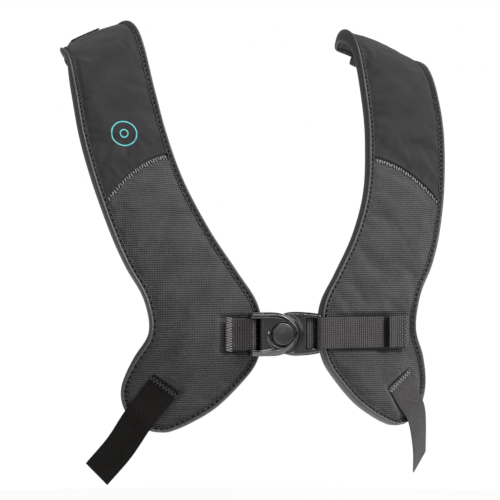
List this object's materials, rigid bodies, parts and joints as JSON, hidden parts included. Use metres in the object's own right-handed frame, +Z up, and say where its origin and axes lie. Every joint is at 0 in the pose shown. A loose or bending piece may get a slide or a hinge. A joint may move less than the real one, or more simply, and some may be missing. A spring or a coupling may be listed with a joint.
{
  "type": "padded shoulder harness",
  "caption": "Padded shoulder harness in its worn shape: two curved pads joined over the chest by webbing and a centre-release push-button buckle.",
  "frame": {"origin": "midway between the crests of the wearer's two shoulders, where the harness is held up", "axes": "+Z up, the wearer's front towards -Y, the wearer's left towards +X"},
  "size_m": [0.325, 0.1786, 0.3833],
  "materials": {
    "upper_panel_fabric": "smooth matt knit over foam",
    "lower_panel_fabric": "ribbed woven stretch fabric",
    "lining_fabric": "soft mesh lining",
    "foam": "closed-cell foam",
    "binding_fabric": "folded knit binding tape",
    "webbing": "flat woven webbing",
    "stitching_thread": "polyester thread",
    "emblem_print": "heat-transfer print",
    "buckle_plastic": "moulded acetal, satin",
    "button_plastic": "moulded acetal, satin",
    "latch_steel": "plain"
  },
  "bodies": {
    "right_half": {"right_foam_core": "foam", "right_lining": "lining_fabric", "right_lower_panel": "lower_panel_fabric", "right_upper_panel": "upper_panel_fabric", "right_edge_binding": "binding_fabric", "right_seam_tape": "stitching_thread", "right_lower_webbing": "webbing", "right_lower_bar_tack": "stitching_thread", "right_rear_loop": "webbing", "right_rear_bar_tack": "stitching_thread", "emblem": "emblem_print", "right_chest_webbing": "webbing", "right_chest_bar_tack": "stitching_thread"},
    "buckle_socket": {"socket_base": "buckle_plastic", "socket_cover": "buckle_plastic", "button_spring": "latch_steel"},
    "release_button": {"push_button": "button_plastic", "latch_plate": "latch_steel"},
    "plug_half": {"buckle_plug": "buckle_plastic", "adjuster_wrap": "webbing", "tail_strap": "webbing"},
    "left_half": {"left_foam_core": "foam", "left_lining": "lining_fabric", "left_lower_panel": "lower_panel_fabric", "left_upper_panel": "upper_panel_fabric", "left_edge_binding": "binding_fabric", "left_seam_tape": "stitching_thread", "left_lower_webbing": "webbing", "left_lower_bar_tack": "stitching_thread", "left_rear_loop": "webbing", "left_rear_bar_tack": "stitching_thread", "left_chest_strap": "webbing", "strap_keeper": "webbing", "keeper_bar_tack": "stitching_thread"},
    "tail_end": {"tail_hem": "webbing"}
  },
  "joints": [
    {"name": "socket_swing", "type": "hinge", "parent": "right_half", "child": "buckle_socket", "pos_m": [-0.0362, -0.1314, -0.2511], "axis": [0, 0, -1], "range_deg": [-2, 20]},
    {"name": "button_press", "type": "slide", "parent": "buckle_socket", "child": "release_button", "axis": [0, 1, 0], "range_m": [0, 0.002], "stiffness_N_per_m": 900, "deforming": ["button_spring"]},
    {"name": "plug_release", "type": "slide", "parent": "buckle_socket", "child": "plug_half", "axis": [1, 0, 0], "range_m": [0, 0.045]},
    {"name": "strap_adjust", "type": "slide", "parent": "plug_half", "child": "left_half", "axis": [0.989, 0.148, 0], "range_m": [0, 0.04], "deforming": ["left_chest_strap"]},
    {"name": "tail_feed", "type": "slide", "parent": "plug_half", "child": "tail_end", "axis": [-0.989, -0.148, 0], "range_m": [0, 0.04], "deforming": ["tail_strap"]}
  ],
  "couplings": [
    {"joint": "tail_feed", "follows": "strap_adjust", "ratio": 1}
  ]
}
